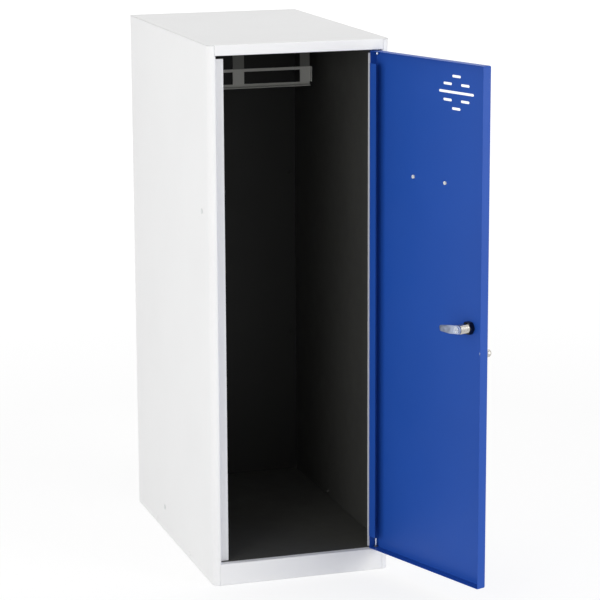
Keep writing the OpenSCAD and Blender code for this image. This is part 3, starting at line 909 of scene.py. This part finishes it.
# ---------------------------------------------------------------------------
# Lock barrel: die cast, with a round face plate outside and a thread inside
# the door that is cut away on two sides. A chamfer starts the thread.
nickel = metal("satin_nickel", linear(206, 203, 196), 0.3, grain=0.003 * MM, scale=220)
barrel_r = 8 * MM
barrel_flat = 6.75 * MM
bore_r = 5.3 * MM
bore_chamfer = 0.4 * MM
plate_round = 1.1 * MM
plate_chamfer = 0.2 * MM
thread_pitch = 1.5 * MM
thread_deep = 0.75 * MM
thread_start = 1.2 * MM
thread_stop = 1.6 * MM
barrel_chamfer = 0.8 * MM
barrel_low, barrel_high = door_box("lock_barrel")
plate_r = (barrel_high.x - barrel_low.x) / 2
plate_back = pan_low.y - gap


def on_door(low, high):
    """Moves a shape about the Y axis to its place on the open door."""
    return door_place @ Matrix.Translation(((low.x + high.x) / 2, 0, (low.z + high.z) / 2))


def barrel_outline():
    """Bore, rounded face plate, then one notch for each turn of the thread."""
    face, end = barrel_low.y, barrel_high.y
    points = [(bore_r, end), (bore_r, face + bore_chamfer), (bore_r + bore_chamfer, face)]
    points += [(plate_r - plate_round + plate_round * math.sin(t * math.pi / 12),
                face + plate_round - plate_round * math.cos(t * math.pi / 12)) for t in range(7)]
    points += [(plate_r, plate_back - plate_chamfer), (plate_r - plate_chamfer, plate_back),
               (barrel_r, plate_back)]
    y = plate_back + thread_start
    while y < end - thread_stop:
        points += [(barrel_r, y), (barrel_r - thread_deep, y + thread_pitch * 0.45),
                   (barrel_r - thread_deep, y + thread_pitch * 0.55)]
        y += thread_pitch
    return points + [(barrel_r, end - barrel_chamfer), (barrel_r - barrel_chamfer, end)]


barrel = turned(barrel_outline(), 96)
for v in barrel.verts:
    if v.co.y > plate_back + door_gauge + 2 * gap:
        v.co.z = max(-barrel_flat, min(barrel_flat, v.co.z))
lock_at = on_door(barrel_low, barrel_high)
finished("lock_barrel_thread", placed(barrel, lock_at), "door", [nickel], "lock_barrel")

# ---------------------------------------------------------------------------
# Lock nut: a dark zinc alloy hexagon with turned corners, run up the thread to
# clamp the barrel from inside the door.
dark_nut_metal = metal("dark_cast_nut", linear(58, 60, 68), 0.38, grain=0.008 * MM, scale=400)
nut_bore_r = barrel_r + 0.1 * MM
nut_chamfer = 0.5 * MM
corner_slope = 1.5
nut_low, nut_high = door_box("lock_nut")
nut_flat = (nut_high.x - nut_low.x) / 2 * math.cos(math.radians(30))
depths = [d * MM for d in (0, 0.25, 0.5, 0.8, 1.2, 1.7, 2.3)]


def nut_outline(angle):
    """The hexagon's side at one angle, turned off towards both faces."""
    side = nut_flat / math.cos(angle % (math.pi / 3) - math.pi / 6)
    heights = [(nut_low.y + d, d) for d in depths] + [(nut_high.y - d, d) for d in reversed(depths)]
    return ([(nut_bore_r, nut_high.y - nut_chamfer), (nut_bore_r, nut_low.y + nut_chamfer),
             (nut_bore_r + nut_chamfer, nut_low.y)]
            + [(min(side, nut_flat * 0.95 + d * corner_slope), y) for y, d in heights]
            + [(nut_bore_r + nut_chamfer, nut_high.y)])


nut = spun(nut_outline, 96)
bmesh.ops.recalc_face_normals(nut, faces=nut.faces)
finished("lock_nut_hexagon", placed(nut, lock_at), "door", [dark_nut_metal], "lock_nut")

# ---------------------------------------------------------------------------
# Core, cam and screw: the plated core turns in the barrel and ends in a square.
# A stamped, bent cam sits on the square, held by a screw with a cross slot.
# The cam's zinc is tinted blue: a painted reflection of the blue door.
zinc_tinted_blue_reflection = metal("zinc_painted_blue_reflection", linear(204, 214, 238), 0.42, grain=0.003 * MM, scale=160)
eased("lock_core", "lock_core_keyway", "latch", nickel, 0.25 * MM)
eased("lock_cam", "lock_cam_stamping", "latch", zinc_tinted_blue_reflection, 0.35 * MM)
eased("cam_screw", "cam_screw_head", "latch", zinc, 0.3 * MM)

# ---------------------------------------------------------------------------
# Knob: turned brass, nickel plated, with a ball end to pull the door open. A
# screw from inside the pan holds it.
base_r = 4.8 * MM
base_t = 1.6 * MM
base_round = 0.4 * MM
base_chamfer = 0.3 * MM
neck_r = 3.4 * MM
neck_round = 0.5 * MM
neck_play = 0.25 * MM
ball_steps = 24
knob_low, knob_high = door_box("pull_knob")
knob_foot = knob_high.y
knob_end = knob_low.y
neck_y = knob_foot - base_t
ball = (knob_high.x - knob_low.x) / 2
ball_y = knob_end + ball
neck_meet = math.asin((neck_r + neck_play) / ball)
outline = [(0, knob_foot), (base_r - base_chamfer, knob_foot), (base_r, knob_foot - base_chamfer),
           (base_r, neck_y + base_round), (base_r - base_round, neck_y),
           (neck_r + neck_round, neck_y), (neck_r, neck_y - neck_round)]
for t in range(ball_steps):
    a = neck_meet + (math.pi - neck_meet) * t / ball_steps
    outline.append((ball * math.sin(a), ball_y + ball * math.cos(a)))
outline.append((0, knob_end))
finished("pull_knob_turned", placed(turned(outline, 64), on_door(knob_low, knob_high)),
         "door", [nickel], "pull_knob")
eased("knob_screw", "knob_screw_head", "door", zinc, 0.25 * MM)

# ---------------------------------------------------------------------------
# Label holder: moulded frame outside the door on two studs, whose ends show
# inside. A blank card slides in from the top, behind a clear sheet.
eased("label_holder", "label_holder_moulding", "door", pale_plastic, 0.5 * MM)
card_paint = moulded("blank_card", linear(240, 238, 230), 0.8, grain=0.006 * MM)
eased("label_card", "label_card_blank", "door", card_paint, 0.05 * MM, segments=1)
clear, tree, skin, place = blank_material("clear_sheet")
skin.inputs["Base Color"].default_value = linear(246, 250, 252)
skin.inputs["Transmission Weight"].default_value = 1
skin.inputs["Roughness"].default_value = 0.06
skin.inputs["IOR"].default_value = 1.46
waves = noise(tree, place, scale=60, detail=1)
tree.links.new(bump(tree, waves, 0.02 * MM), skin.inputs["Normal"])
eased("label_window", "label_window_clear", "door", clear, 0.05 * MM, segments=1)
